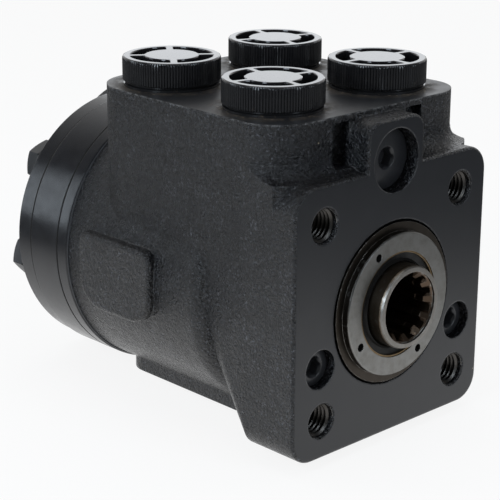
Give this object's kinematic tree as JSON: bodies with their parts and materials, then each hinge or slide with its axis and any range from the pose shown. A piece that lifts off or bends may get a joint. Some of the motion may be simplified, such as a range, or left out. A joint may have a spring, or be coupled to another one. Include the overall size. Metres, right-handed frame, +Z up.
{
  "type": "orbital steering unit",
  "caption": "Hydrostatic steering unit: flanged valve housing with a splined spool socket, capped hose ports and a bolted gerotor metering section.",
  "frame": {"origin": "centre of the column-mounting face, on the spool axis", "axes": "+Y runs back along the spool axis into the unit, +X is to the right seen from the column, +Z points up out of the hose ports"},
  "size_m": [0.0892, 0.1382, 0.1099],
  "materials": {
    "painted_casting": "semi-gloss black paint over a sand casting",
    "painted_steel": "smooth satin black paint over machined steel",
    "plug_steel": "black painted steel plug",
    "bolt_steel": "black painted bolt steel",
    "gland_steel": "turned steel with an oily film",
    "ground_steel": "ground and hardened steel",
    "spool_steel": "oily brown-grey hardened steel with a worn bright lip",
    "spring_steel": "spring steel",
    "seal_brass": "thin brass-coloured seal case",
    "nitrile": "black nitrile rubber",
    "cap_plastic": "glossy black moulded plastic"
  },
  "bodies": {
    "housing": {"check_bush": "ground_steel", "cover_seal": "nitrile", "distributor_plate": "painted_steel", "dust_seal": "nitrile", "dust_seal_case": "seal_brass", "end_cover": "painted_steel", "front_bearing_race": "ground_steel", "gear_ring": "painted_steel", "gear_seal": "nitrile", "gland_o_ring": "nitrile", "gland_ring": "gland_steel", "housing": "painted_casting", "housing_seal": "nitrile", "left_front_cap": "cap_plastic", "left_rear_cap": "cap_plastic", "left_shock_plug": "plug_steel", "left_shock_seat": "ground_steel", "left_shock_spring": "spring_steel", "relief_plug": "plug_steel", "relief_seat": "ground_steel", "relief_spring": "spring_steel", "right_front_cap": "cap_plastic", "right_rear_cap": "cap_plastic", "right_shock_plug": "plug_steel", "right_shock_seat": "ground_steel", "right_shock_spring": "spring_steel", "shaft_seal": "nitrile", "tie_bolts": "bolt_steel", "washers": "bolt_steel"},
    "sleeve": {"sleeve": "ground_steel", "cross_pin": "ground_steel", "leaf_springs": "spring_steel", "rear_bearing_race": "ground_steel"},
    "spool": {"spool": "spool_steel"},
    "bearing_cage": {"needle_cage": "ground_steel", "bearing_needles": "ground_steel"},
    "drive_spacer": {"drive_spacer": "ground_steel"},
    "rotor": {"rotor": "ground_steel"},
    "cardan_shaft": {"cardan_shaft": "ground_steel"},
    "relief_cone": {"relief_cone": "ground_steel"},
    "left_shock_ball": {"left_shock_ball": "ground_steel"},
    "right_shock_ball": {"right_shock_ball": "ground_steel"},
    "check_ball": {"check_ball": "ground_steel"}
  },
  "joints": [
    {"name": "sleeve_turn", "type": "hinge", "parent": "housing", "child": "sleeve", "pos_m": [0, 0.05, 0], "axis": [0, 1, 0], "continuous": true},
    {"name": "spool_turn", "type": "hinge", "parent": "sleeve", "child": "spool", "pos_m": [0, 0.05, 0], "axis": [0, 1, 0], "range_deg": [-10, 10], "stiffness_Nm_per_rad": 2, "deforming": ["leaf_springs"]},
    {"name": "bearing_cage_turn", "type": "hinge", "parent": "housing", "child": "bearing_cage", "pos_m": [0, 0.0134, 0], "axis": [0, 1, 0], "continuous": true},
    {"name": "rotor_orbit", "type": "hinge", "parent": "housing", "child": "drive_spacer", "pos_m": [0, 0.11045, 0], "axis": [0, 1, 0], "continuous": true},
    {"name": "rotor_spin", "type": "hinge", "parent": "drive_spacer", "child": "rotor", "pos_m": [0, 0.11045, -0.0028], "axis": [0, 1, 0], "continuous": true},
    {"name": "cardan_spin", "type": "hinge", "parent": "drive_spacer", "child": "cardan_shaft", "pos_m": [0, 0.062, 0], "axis": [0, 0.9983, -0.0577], "continuous": true},
    {"name": "relief_lift", "type": "slide", "parent": "housing", "child": "relief_cone", "axis": [0, -1, 0], "range_m": [0, 0.0015], "stiffness_N_per_m": 20000, "deforming": ["relief_spring"]},
    {"name": "left_shock_lift", "type": "slide", "parent": "housing", "child": "left_shock_ball", "axis": [0, -1, 0], "range_m": [0, 0.0015], "stiffness_N_per_m": 20000, "deforming": ["left_shock_spring"]},
    {"name": "right_shock_lift", "type": "slide", "parent": "housing", "child": "right_shock_ball", "axis": [0, -1, 0], "range_m": [0, 0.0015], "stiffness_N_per_m": 20000, "deforming": ["right_shock_spring"]},
    {"name": "check_lift", "type": "slide", "parent": "housing", "child": "check_ball", "axis": [0, 0, 1], "range_m": [0, 0.0015]}
  ],
  "couplings": [
    {"joint": "bearing_cage_turn", "follows": "sleeve_turn", "ratio": 0.5},
    {"joint": "rotor_orbit", "follows": "sleeve_turn", "ratio": -6},
    {"joint": "rotor_spin", "follows": "sleeve_turn", "ratio": 7},
    {"joint": "cardan_spin", "follows": "sleeve_turn", "ratio": 7}
  ]
}
